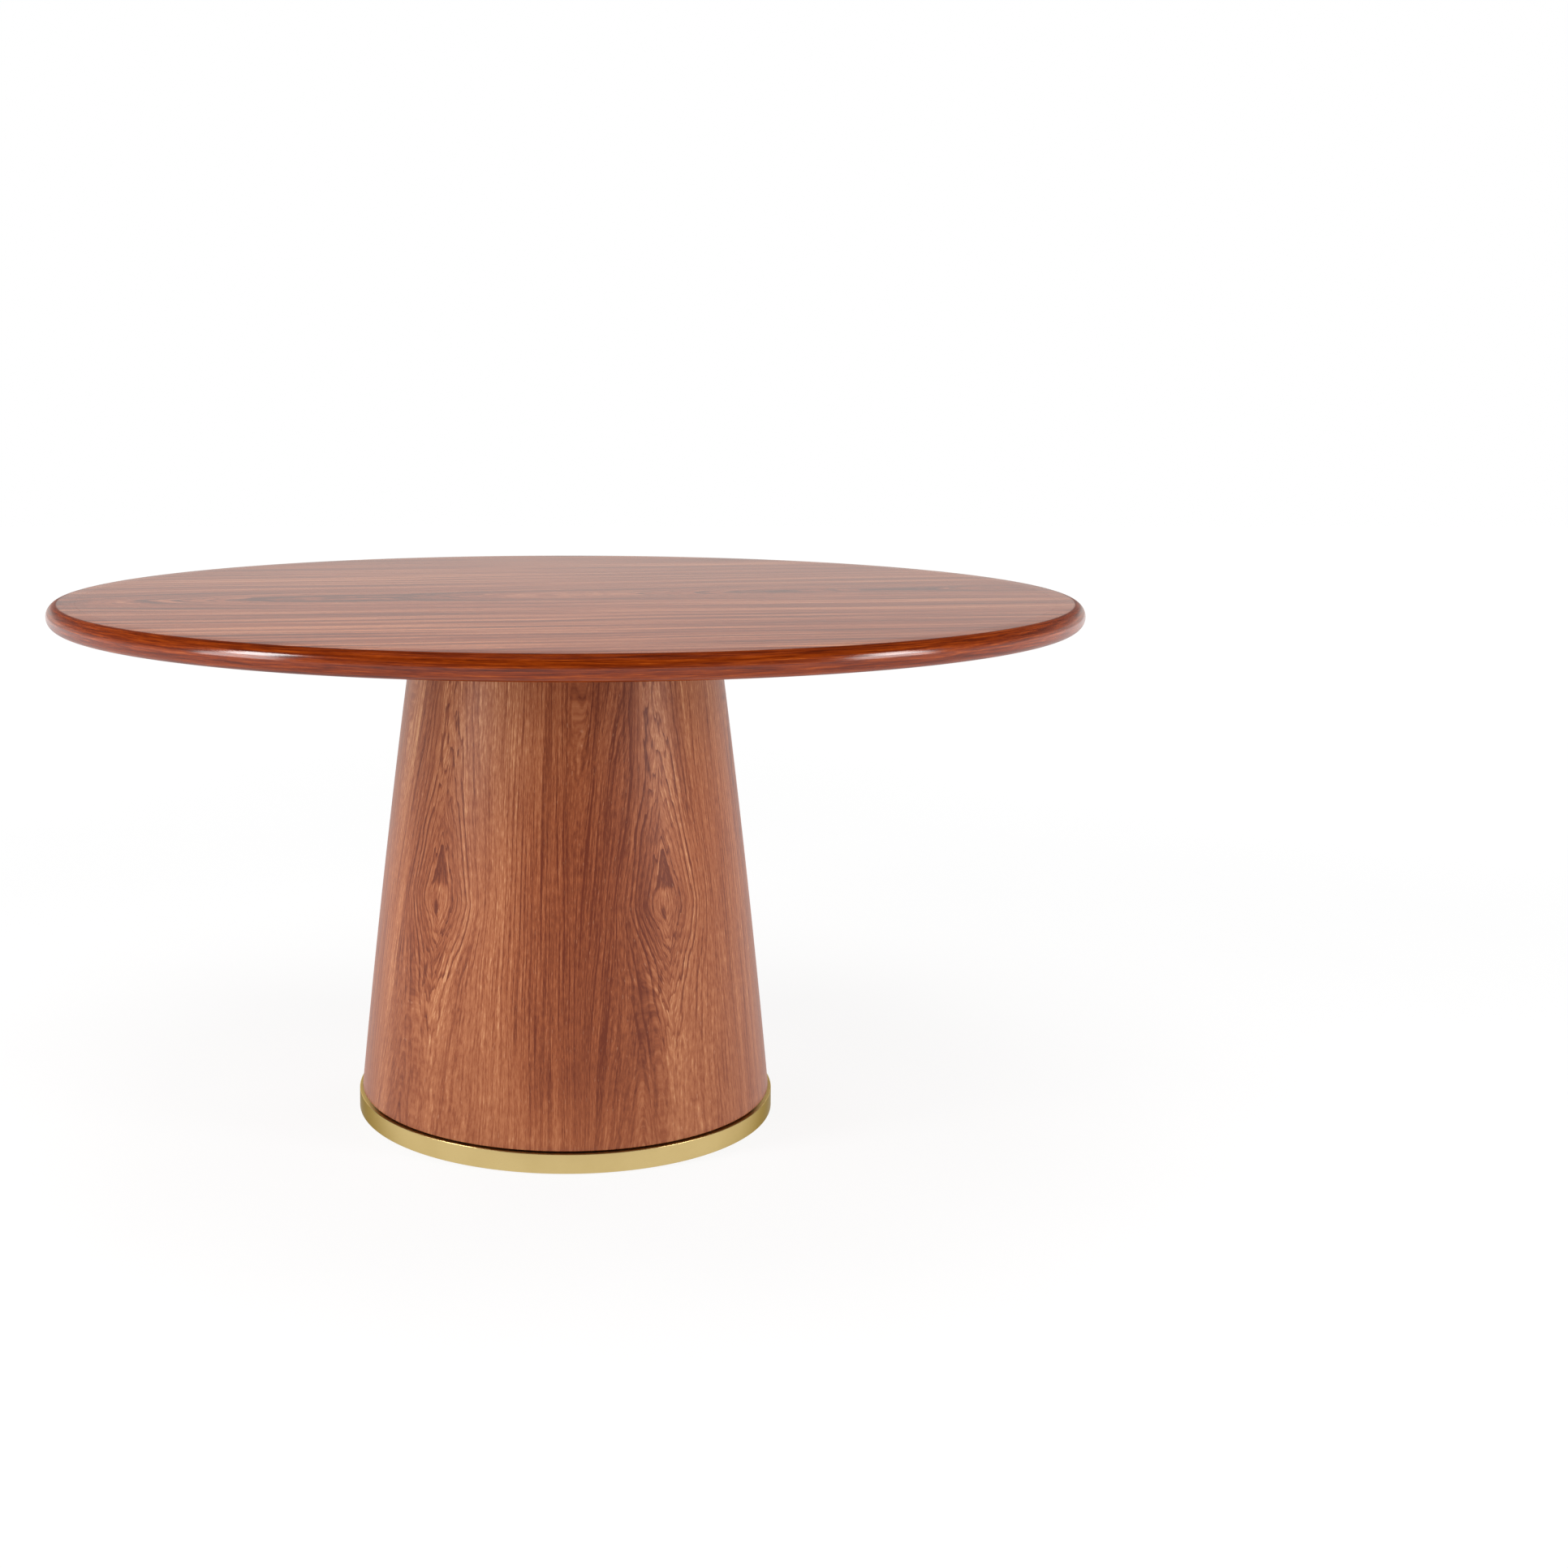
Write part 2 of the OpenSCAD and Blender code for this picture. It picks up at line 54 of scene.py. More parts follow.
body_of = {n: b for b, ns in frame["record"]["behaviour"]["bodies"].items() for n in ns}
slot_of = {s["node"]: s["material_slot"] for s in frame["record"]["subparts"]}
scene = bpy.context.scene

# ---------------------------------------------------------------- sizes in metres, from the CAD
UNDER_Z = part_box("top_core")[0].z
TOP_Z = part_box("top_core")[1].z
CORE_R = 0.710
TOP_R = 0.750
EDGE_R = (TOP_Z - UNDER_Z) / 2
LIPPINGS = 6
LIPPING_CLEAR = 0.0002        # keeps the finer edge inside the CAD edge

FOOT_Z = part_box("shell_panel_1")[0].z
SHELL_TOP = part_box("shell_panel_1")[1].z
CAP_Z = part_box("pedestal_cap")[1].z
FOOT_R = 0.3035
NECK_R = 0.2235
SWELL = 0.0035
SHELL_T = 0.014
SHELL_ROUND = 0.0012
LEAVES = 5
SEAM = math.radians(-4.5)     # where the first veneer joint stands, from the front
VENEER_R = 0.265              # mean radius, at which distances round the pedestal are taken
LEAF_WIDTH = 2 * math.pi * VENEER_R / LEAVES

RING_Z0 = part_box("foot_ring")[0].z
RING_Z1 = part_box("foot_ring")[1].z
RING_R = 0.308
RING_INNER = 0.288
RING_WALL = 0.003
RING_TOP_ROUND = 0.0012
RING_FOOT_ROUND = 0.0005

SPRING_WIRE = 0.0006
SPRING_TURNS = 10


def pedestal_radius(z):
    u = (z - FOOT_Z) / (UNDER_Z - FOOT_Z)
    return FOOT_R + (NECK_R - FOOT_R) * u + 4 * SWELL * u * (1 - u)


def rgb(r, g, b):
    """sRGB bytes to linear."""
    return tuple((c / 255 / 12.92) if c <= 10.3 else ((c / 255 + 0.055) / 1.055) ** 2.4 for c in (r, g, b))


# ---------------------------------------------------------------- camera
cam_data = bpy.data.cameras.new("camera")
cam = bpy.data.objects.new("camera", cam_data)
scene.collection.objects.link(cam)
cam.location = (0.0, -3.0176, 1.0477)
cam.rotation_euler = (math.radians(90 - 3.2), 0, 0)
cam_data.sensor_width = 36
cam_data.lens = 46.763
cam_data.shift_x = 0.1394
cam_data.shift_y = -0.1709
cam_data.clip_end = 100
scene.camera = cam
scene.view_settings.view_transform = "Standard"
scene.view_settings.look = "None"


# ---------------------------------------------------------------- lights
LIGHT_TARGET = Vector((0, 0, 0.6))


def area(name, az, el, dist, w, h, watts):
    """Soft box at azimuth az (0 = in front, positive to the right) and elevation el, aimed at the table."""
    d = bpy.data.lights.new(name, "AREA")
    d.shape = "RECTANGLE"
    d.size, d.size_y = w, h
    d.energy = watts
    o = bpy.data.objects.new(name, d)
    scene.collection.objects.link(o)
    a, e = math.radians(az), math.radians(el)
    away = Vector((math.sin(a) * math.cos(e), -math.cos(a) * math.cos(e), math.sin(e)))
    o.location = LIGHT_TARGET + dist * away
    o.rotation_euler = (-away).to_track_quat("-Z", "Y").to_euler()
    return o


# two small boxes make the highlights, two low ones the soft sheen down the pedestal
area("box_left", -63, 27, 3.4, 0.66, 1.00, 44)
area("box_right", 65, 20, 3.4, 0.60, 0.80, 22)
area("low_left", -63, 9, 3.4, 1.1, 1.0, 25)
area("low_right", 63, 9, 3.4, 1.1, 1.0, 25)
# large fills that light the surfaces without showing in the lacquer
FILL_SIZE = 2.4
area("fill_above", 0, 88, 2.6, FILL_SIZE, FILL_SIZE, 58).visible_glossy = False
for name, az in (("front_left", -40), ("front_right", 40), ("back_left", -140), ("back_right", 140)):
    area(f"fill_{name}", az, 14, 4.2, FILL_SIZE, FILL_SIZE, 50).visible_glossy = False


# ---------------------------------------------------------------- colours and tones of the woods
PED_DARK, PED_LOW = rgb(99, 40, 18), rgb(139, 73, 41)
PED_MID, PED_LIGHT = rgb(169, 104, 67), rgb(212, 158, 114)
PED_STOPS = [(0.0, PED_DARK), (0.35, PED_LOW), (0.65, PED_MID), (1.0, PED_LIGHT)]
PED_PORE = rgb(214, 158, 122)
# broad tone of the pedestal's veneer once round, from the back by the left, the front and the right: partly
# the veneer's own tone, partly painted sheen and painted shade
PEDESTAL_TONE_AND_SHEEN = [
    (0.00, 0.48), (0.06, 0.58), (0.12, 0.42), (0.18, 0.60), (0.25, 0.42), (0.305, 0.44), (0.335, 0.64),
    (0.342, 0.37), (0.375, 0.54), (0.405, 0.58), (0.43, 0.53), (0.455, 0.55), (0.475, 0.38), (0.50, 0.25),
    (0.54, 0.20), (0.565, 0.32), (0.585, 0.60), (0.615, 0.58), (0.64, 0.47), (0.66, 0.50), (0.68, 0.44),
    (0.72, 0.39), (0.78, 0.42), (0.84, 0.38), (0.90, 0.56), (1.00, 0.48)]
# painted shade by height: how much darker the veneer is drawn at each height
HEIGHT_PAINTED_SHADE = [(0.04, 0.06), (0.16, 0.06), (0.30, 0.10), (0.42, 0.09), (0.60, 0.0)]
# painted light: the part of the turn that counts as the front, where the veneer is drawn lighter near the
# foot
FRONT_PAINTED_LIGHT = [(0.44, 0.0), (0.50, 1.0), (0.56, 1.0), (0.60, 0.0)]

# the knot of each pedestal leaf: its place, and how far it lifts the grain
KNOT_PART = 0.492             # share of the leaf's width
KNOT_Z = 0.356
KNOT_REACH = 0.060
KNOT_FADE = 0.07              # distance over which the lift dies out sideways
KNOT_RING = 0.00625           # distance between its growth lines
KNOT_SIZE = 0.08
# how dark those lines are from the eye (0) out to KNOT_SIZE (1)
KNOT_LINES = [(0.00, 0.2), (0.10, 0.5), (0.22, 0.3), (0.31, 1.0), (0.37, 0.4), (0.47, 0.4), (0.55, 0.9),
              (0.63, 1.0), (0.70, 0.5), (0.80, 0.6), (0.90, 0.4), (1.00, 0.3)]
# across a leaf: where the grain leans, and how dense its dark lines are
LEAN = [(0.06, 0.0), (0.18, 1.0), (0.34, 1.0), (0.44, 0.0)]
DENSITY = [(0.0, 1.0), (0.28, 0.9), (0.40, 0.30), (0.60, 0.30), (0.74, 0.65), (0.92, 1.0), (1.0, 1.0)]

FACE_GRAIN = math.radians(9)  # the grain of the face runs this far off X
FACE_RING = 0.0110            # distance between its growth rings
FACE_DARK, FACE_MID, FACE_LIGHT = rgb(96, 30, 12), rgb(158, 74, 40), rgb(210, 134, 94)
BACK_DARK, BACK_LIGHT = rgb(120, 76, 50), rgb(186, 138, 102)
# broad tone of the face from the near side to the far side
FACE_TONE = [
    (0.02, 0.49), (0.08, 0.55), (0.13, 0.46), (0.17, 0.54), (0.27, 0.50), (0.31, 0.55), (0.40, 0.51),
    (0.455, 0.49), (0.55, 0.49), (0.575, 0.58), (0.62, 0.50), (0.70, 0.56), (0.78, 0.49), (0.83, 0.54),
    (0.92, 0.48), (1.0, 0.53)]

EDGE_DARK, EDGE_LOW = rgb(58, 14, 2), rgb(100, 32, 3)
EDGE_MID, EDGE_LIGHT = rgb(134, 52, 6), rgb(176, 86, 26)
# by height up the edge: how much lighter the timber is drawn, as painted light towards the underside and
# painted shade towards the face, and how thick the lacquer
EDGE_PAINTED_LIGHT = [(0.10, 0.14), (0.42, 0.08), (0.60, 0.08), (0.92, 0.0)]
EDGE_FILM = [(0.0, 0.48), (0.25, 0.62), (0.5, 0.95), (0.85, 1.0), (0.93, 0.50), (1.0, 0.34)]

BEECH_DARK = rgb(118, 66, 38)
BEECH = [(0.0, BEECH_DARK), (0.4, rgb(148, 90, 54)), (0.75, rgb(172, 112, 70)), (1.0, rgb(190, 132, 88))]
PLY = 0.0028                  # thickness of one ply


# ---------------------------------------------------------------- node helpers
class Tree:
    """Short calls that add shader nodes to one node tree."""

    def __init__(self, nt):
        self.nt = nt

    def put(self, sock, val):
        if isinstance(val, bpy.types.NodeSocket):
            self.nt.links.new(val, sock)
        elif val is not None:
            if hasattr(sock.default_value, "__len__") and not hasattr(val, "__len__"):
                sock.default_value = [val] * len(sock.default_value)
            elif hasattr(sock.default_value, "__len__") and len(sock.default_value) == 4 and len(val) == 3:
                sock.default_value = (*val, 1)
            else:
                sock.default_value = val

    def new(self, kind, **props):
        n = self.nt.nodes.new(kind)
        for k, v in props.items():
            setattr(n, k, v)
        return n

    def m(self, op, a, b=None):
        n = self.new("ShaderNodeMath", operation=op)
        for s, v in zip(n.inputs, (a, b)):
            self.put(s, v)
        return n.outputs[0]

    def add(self, a, b):
        return self.m("ADD", a, b)

    def sub(self, a, b):
        return self.m("SUBTRACT", a, b)

    def mul(self, a, b):
        return self.m("MULTIPLY", a, b)

    def vec(self, x, y, z):
        n = self.new("ShaderNodeCombineXYZ")
        for s, v in zip(n.inputs, (x, y, z)):
            self.put(s, v)
        return n.outputs[0]

    def split(self, v):
        n = self.new("ShaderNodeSeparateXYZ")
        self.put(n.inputs[0], v)
        return n.outputs

    def radius(self, x, y):
        return self.m("SQRT", self.add(self.mul(x, x), self.mul(y, y)))

    def noise(self, v, scale=1.0, detail=2.0, rough=0.5, dist=0.0):
        n = self.new("ShaderNodeTexNoise")
        self.put(n.inputs["Vector"], v)
        self.put(n.inputs["Scale"], scale)
        self.put(n.inputs["Detail"], detail)
        self.put(n.inputs["Roughness"], rough)
        self.put(n.inputs["Distortion"], dist)
        return n.outputs["Fac"]

    def random(self, cell):
        """One random value for each whole number."""
        n = self.new("ShaderNodeTexWhiteNoise", noise_dimensions="2D")
        self.put(n.inputs["Vector"], self.vec(cell, 0.5, 0.0))
        return n.outputs["Value"]

    def ramp(self, fac, stops, interp="LINEAR"):
        n = self.new("ShaderNodeValToRGB")
        n.color_ramp.interpolation = interp
        els = n.color_ramp.elements
        while len(els) > len(stops):
            els.remove(els[-1])
        while len(els) < len(stops):
            els.new(1.0)
        for e, (p, c) in zip(els, stops):
            e.position = p
            e.color = (c, c, c, 1) if not hasattr(c, "__len__") else (*c, 1)
        self.put(n.inputs[0], fac)
        return n.outputs[0]

    def step(self, x, lo, hi, to0=0.0, to1=1.0):
        """Smooth step from to0 at lo to to1 at hi."""
        n = self.new("ShaderNodeMapRange", interpolation_type="SMOOTHSTEP")
        for s, v in zip(n.inputs, (x, lo, hi, to0, to1)):
            self.put(s, v)
        return n.outputs[0]

    def mix(self, fac, a, b):
        n = self.new("ShaderNodeMix", data_type="RGBA", blend_type="MIX")
        self.put(n.inputs[0], fac)
        self.put(n.inputs[6], a)
        self.put(n.inputs[7], b)
        return n.outputs[2]

    def bump(self, height, strength, distance):
        n = self.new("ShaderNodeBump")
        self.put(n.inputs["Height"], height)
        self.put(n.inputs["Strength"], strength)
        self.put(n.inputs["Distance"], distance)
        return n.outputs[0]


def material(name):
    """A new material, its tree, its shader and the object-space position."""
    mt = bpy.data.materials.new(name)
    mt.use_nodes = True
    t = Tree(mt.node_tree)
    bsdf = mt.node_tree.nodes["Principled BSDF"]
    tc = t.new("ShaderNodeTexCoord")
    return mt, t, bsdf, tc.outputs["Object"]


# ---------------------------------------------------------------- grain that several veneers share
def stripes(t, s, v, seed, dense):
    """Straight grain, s across it and v along it in metres: a tone around 0 and two fine layers."""
    broad = t.noise(t.vec(t.mul(s, 60.0), t.mul(v, 1.3), seed), 1.0, 2.0, 0.55)
    line = t.noise(t.vec(t.mul(s, 300.0), t.mul(v, 3.0), seed), 1.0, 2.0, 0.6)
    thin = t.noise(t.vec(t.mul(s, 720.0), t.mul(v, 13.0), seed), 1.0, 2.0, 0.65)
    fleck = t.noise(t.vec(t.mul(s, 600.0), t.mul(v, 80.0), seed), 1.0, 2.0, 0.6)
    hair = t.noise(t.vec(t.mul(s, 2300.0), t.mul(v, 80.0), seed), 1.0, 2.0, 0.6)
    dark = t.step(line, 0.46, 0.68)
    out = t.add(t.mul(t.sub(broad, 0.5), 0.55), t.mul(t.mul(t.sub(0.30, dark), 0.40), dense))
    out = t.add(out, t.mul(t.sub(thin, 0.5), 0.9))
    out = t.add(out, t.mul(t.sub(fleck, 0.5), 0.85))
    return t.add(out, t.mul(t.sub(hair, 0.5), 0.22)), thin, hair


def dashes(t, s, v, across, along, seed):
    """Short thin marks, across and along the number of them in a metre each way."""
    spots = t.noise(t.vec(t.mul(s, across), t.mul(v, along), seed), 1.0, 1.0)
    return t.step(spots, 0.68, 0.76)


# ---------------------------------------------------------------- pedestal veneer
def knot_contours(t, du, dv, z, leaf):
    """The grain round the knot, from du across and dv up. psi grows from the eye outwards, so its
    contours are an oval, then pointed arches; lift is how far the grain beside them is pushed aside."""
    wander = t.noise(t.vec(t.mul(z, 6.0), t.mul(leaf, 0.1), 3.1), 1.0, 1.0)
    du = t.add(du, t.mul(t.sub(wander, 0.5), 0.016))
    adu = t.m("SQRT", t.add(t.mul(du, du), 0.000008))
    jag = t.noise(t.vec(t.mul(du, 140.0), t.mul(z, 20.0), 1.7), 1.0, 1.5, 0.5)
    sway = t.noise(t.vec(t.mul(du, 26.0), t.mul(z, 13.0), 4.7), 1.0, 1.0)
    middle = t.step(adu, 0.008, 0.034, 1.0, 0.12)
    rise = t.step(dv, -0.03, 0.03, 0.52, 0.31)
    reach = t.sub(t.m("SQRT", t.add(t.mul(dv, dv), 0.0001)), 0.010)
    height = t.mul(t.m("TANH", t.mul(t.mul(reach, rise), 1 / KNOT_REACH)), KNOT_REACH)
    lift = t.mul(height, t.m("EXPONENT", t.mul(adu, -1 / KNOT_FADE)))
    psi = t.add(t.add(adu, lift), t.mul(t.mul(t.sub(jag, 0.5), middle), 0.021))
    psi = t.add(psi, t.mul(t.sub(sway, 0.5), 0.009))
    return du, adu, psi, lift, jag


def knot_rings(t, psi):
    """Growth lines round the knot: a tone for each ring and its dark outer line."""
    psi = t.mul(psi, 0.90)
    c = t.m("DIVIDE", psi, KNOT_RING)
    part = t.m("FRACT", c)
    line = t.mul(t.step(part, 0.45, 0.90), t.step(part, 0.94, 1.0, 1.0, 0.0))
    dark = t.ramp(t.mul(psi, 1 / KNOT_SIZE), KNOT_LINES)
    return t.sub(t.random(t.m("FLOOR", c)), 0.5), t.mul(line, dark)


def knot_marks(t, du, adu, dv, psi, jag):
    """Inside the knot: a dark heart with a dark flame above it, a light eye and a light tongue below."""
    hu = t.add(du, 0.004)
    hv = t.add(dv, 0.014)
    heart = t.step(t.m("SQRT", t.add(t.mul(t.mul(hu, hu), 7.0), t.mul(hv, hv))), 0.006, 0.014, 1.0, 0.0)
    ragged = t.add(adu, t.mul(t.sub(jag, 0.5), 0.010))
    taper = t.sub(0.017, t.mul(t.sub(dv, 0.020), 0.24))
    flame = t.mul(t.step(t.sub(taper, ragged), 0.0, 0.003),
                  t.step(t.add(dv, t.mul(t.sub(jag, 0.5), 0.02)), 0.016, 0.024))
    eye = t.step(psi, 0.012, 0.022, 1.0, 0.0)
    below = t.mul(t.add(dv, 0.150), -1.0)
    width = t.m("MINIMUM", t.mul(below, 0.24), 0.014)
    tongue = t.mul(t.step(t.sub(width, ragged), 0.0, 0.003), t.step(below, 0.0, 0.01))
    tongue = t.mul(tongue, t.step(below, 0.05, 0.14, 1.0, 0.0))
    return t.add(heart, flame), t.add(t.mul(tongue, 0.2), t.mul(eye, 0.6))


def grain_line(t, s, z, part, du, adu, lift):
    """Distance across the straight grain, which leans beside the knot and bends round it."""
    lean = t.ramp(part, LEAN, "EASE")
    drift = t.noise(t.vec(t.mul(s, 6.0), t.mul(z, 3.0), 8.0), 1.0, 2.0, 0.5)
    sg = t.sub(s, t.mul(t.mul(lean, 0.10), t.sub(z, 0.35)))
    sg = t.add(sg, t.mul(t.sub(drift, 0.5), 0.014))
    bend = t.mul(t.mul(t.m("SIGN", du), lift), t.step(adu, 0.03, 0.13, 0.9, 0.0))
    return t.add(sg, bend)


def pedestal_material():
    mt, t, b, obj = material("pedestal_veneer")
    x, y, z = t.split(obj)
    phi = t.m("ARCTAN2", x, t.mul(y, -1.0))
    turn = t.add(t.mul(phi, 1 / (2 * math.pi)), 0.5)
    part = t.mul(t.sub(phi, SEAM), LEAVES / (2 * math.pi))
    leaf = t.m("FLOOR", part)
    part = t.m("FRACT", part)
    s = t.mul(phi, VENEER_R)
    dv = t.sub(z, KNOT_Z)
    du, adu, psi, lift, jag = knot_contours(t, t.mul(t.sub(part, KNOT_PART), LEAF_WIDTH), dv, z, leaf)
    flat, line = knot_rings(t, psi)
    # the figure fades sideways and towards the foot
    fig = t.mul(t.step(adu, 0.040, 0.085, 1.0, 0.0), t.step(z, 0.30, 0.12, 1.0, 0.40))
    sg = grain_line(t, s, z, part, du, adu, lift)
    dense = t.mul(t.ramp(part, DENSITY), t.step(z, 0.30, 0.10, 1.0, 0.6))
    grain, thin, hair = stripes(t, sg, z, 2.0, dense)
    grain = t.mul(grain, t.step(z, 0.26, 0.08, 1.0, 0.80))
    # the broad tone round the pedestal, with its painted sheen and painted shade
    out = t.add(t.ramp(turn, PEDESTAL_TONE_AND_SHEEN), grain)
    out = t.add(out, t.mul(t.mul(flat, fig), 0.16))
    out = t.sub(out, t.mul(t.mul(line, fig), 0.50))
    dark_marks, light_marks = knot_marks(t, du, adu, dv, psi, jag)
    out = t.sub(out, t.mul(dark_marks, 0.40))
    out = t.add(out, t.mul(light_marks, 0.16))
    # painted shade: the veneer is drawn darker below about 0.6 m, most at about 0.3 m
    out = t.sub(out, t.ramp(z, HEIGHT_PAINTED_SHADE, "EASE"))
    # painted light: lighter in front near the foot
    out = t.add(out, t.mul(t.step(z, 0.15, 0.03, 0.0, 0.18), t.ramp(turn, FRONT_PAINTED_LIGHT, "EASE")))
    col = t.ramp(out, PED_STOPS)
    col = t.mix(t.mul(dashes(t, sg, z, 640.0, 75.0, 2.0), 0.25), col, PED_PORE)
    dash = dashes(t, sg, z, 700.0, 40.0, 9.0)
    col = t.mix(t.mul(dash, 0.35), col, PED_DARK)
    # the joint between two leaves is a thin dark line
    joint = t.m("MINIMUM", part, t.sub(1.0, part))
    col = t.mix(t.step(joint, 0.0003, 0.0022, 0.45, 0.0), col, PED_DARK)
    # the flat cap is veneered with straight grain along X
    cap = t.ramp(t.add(stripes(t, y, x, 5.0, 0.9)[0], 0.45), PED_STOPS)
    col = t.mix(t.step(z, CAP_Z - 0.0008, CAP_Z - 0.0002), col, cap)
    t.put(b.inputs["Base Color"], col)
    t.put(b.inputs["Roughness"], t.add(0.40, t.mul(t.sub(thin, 0.5), 0.16)))
    relief = t.add(t.mul(thin, 0.5), t.sub(t.mul(hair, 0.4), t.mul(dash, 0.5)))
    t.put(b.inputs["Normal"], t.bump(relief, 0.16, 0.0006))
    b.inputs["Specular IOR Level"].default_value = 0.27
    b.inputs["Coat Weight"].default_value = 0.07
    b.inputs["Coat Roughness"].default_value = 0.28
    return mt


# ---------------------------------------------------------------- the lacquered top: face veneer, solid edge
def growth(t, layer, v):
    """Growth rings of the face: a random tone for each, its dark outline and a finer line inside it."""
    waver = t.noise(t.vec(t.mul(layer, 1.1 / FACE_RING), 0.0, 5.0))
    c = t.add(t.m("DIVIDE", layer, FACE_RING), t.mul(waver, 0.8))
    part = t.m("FRACT", c)
    patchy = t.noise(t.vec(t.mul(layer, 0.8 / FACE_RING), t.mul(v, 14.0), 7.0))
    faint = t.step(patchy, 0.34, 0.60, 0.3, 1.0)
    line = t.mul(t.step(part, 0.82, 0.95), t.step(part, 0.97, 1.0, 1.0, 0.0))
    half = t.m("FRACT", t.mul(part, 2.0))
    minor = t.mul(t.step(half, 0.35, 0.78), t.step(half, 0.85, 1.0, 1.0, 0.0))
    tone = t.add(t.mul(t.sub(t.random(t.m("FLOOR", c)), 0.5), 0.9), t.mul(t.sub(0.5, part), 0.35))
    return tone, t.mul(t.add(line, minor), faint)


def face_veneer(t, x, y):
    """A leaf cut close to the heart runs through the middle. The growth layers lie deep under the left
    end and rise to the right, so they come out as a run of arches with straight grain on both sides.
    Returns the face's colour, its tone and its fine grain."""
    ca, sa = math.cos(FACE_GRAIN), math.sin(FACE_GRAIN)
    along = t.add(t.mul(x, ca), t.mul(y, sa))
    across = t.sub(t.mul(y, ca), t.mul(x, sa))
    drift = t.noise(t.vec(t.mul(along, 1.6), t.mul(across, 3.0), 4.0), 1.0, 2.0, 0.5)
    ac = t.add(across, t.mul(t.sub(drift, 0.5), 0.03))
    du = t.add(ac, 0.020)
    adu = t.m("ABSOLUTE", du)
    jag = t.noise(t.vec(t.mul(du, 45.0), t.mul(along, 14.0), 1.7), 1.0, 2.0, 0.55)
    jag = t.mul(t.sub(jag, 0.5), t.step(adu, 0.03, 0.12, 1.0, 0.2))
    roll = t.noise(t.vec(t.mul(along, 3.5), 2.0, 9.0), 1.0, 1.0)
    depth = t.add(t.sub(0.085, t.mul(along, 0.075)), t.mul(t.sub(roll, 0.5), 0.030))
    layer = t.add(t.add(t.radius(du, depth), t.mul(du, 0.15)), t.mul(jag, 0.008))
    flat, lines = growth(t, layer, along)
    fig = t.step(adu, 0.045, 0.170, 1.0, 0.0)
    grain, thin, _ = stripes(t, layer, along, 6.0, 0.9)
    bands = t.noise(t.vec(t.mul(layer, 55.0), t.mul(along, 1.2), 11.0), 1.0, 3.0, 0.6)
    veins = t.noise(t.vec(t.mul(layer, 120.0), t.mul(along, 1.1), 15.0), 1.0, 2.0, 0.6)
    grain = t.add(grain, t.mul(t.sub(bands, 0.5), t.sub(2.5, t.mul(fig, 1.8))))
    grain = t.sub(grain, t.mul(t.step(veins, 0.54, 0.64), 0.45))
    out = t.add(t.ramp(t.add(t.m("DIVIDE", ac, 2 * TOP_R), 0.5), FACE_TONE), t.mul(grain, 0.85))
    out = t.add(out, t.mul(t.mul(flat, fig), 0.25))
    out = t.sub(out, t.mul(t.mul(lines, fig), 0.34))
    face = t.ramp(out, [(0.0, FACE_DARK), (0.5, FACE_MID), (1.0, FACE_LIGHT)])
    face = t.mix(t.mul(dashes(t, ac, along, 700.0, 40.0, 9.0), 0.3), face, FACE_DARK)
    return face, out, thin


def edge_timber(t, x, y, z, r, up):
    """Solid lippings with the grain along the edge. Returns their colour and their middle grain."""
    arc_length = t.mul(t.m("ARCTAN2", x, t.mul(y, -1.0)), TOP_R)
    g1 = t.noise(t.vec(t.mul(arc_length, 2.2), t.mul(z, 110.0), t.mul(r, 110.0)), 1.0, 3.0, 0.6, 0.3)
    g2 = t.noise(t.vec(t.mul(arc_length, 16.0), t.mul(z, 430.0), t.mul(r, 430.0)), 1.0, 3.0, 0.66, 0.2)
    g3 = t.noise(t.vec(t.mul(arc_length, 90.0), t.mul(z, 1800.0), t.mul(r, 1800.0)), 1.0, 2.0, 0.6)
    tone = t.add(t.add(t.mul(g1, 0.8), t.mul(g2, 1.5)), t.mul(g3, 0.4))
    # painted light and shade: lighter towards the underside, darker towards the face
    tone = t.sub(t.add(tone, t.ramp(up, EDGE_PAINTED_LIGHT, "EASE")), 0.94)
    return t.ramp(tone, [(0.0, EDGE_DARK), (0.35, EDGE_LOW), (0.65, EDGE_MID), (1.0, EDGE_LIGHT)]), g2


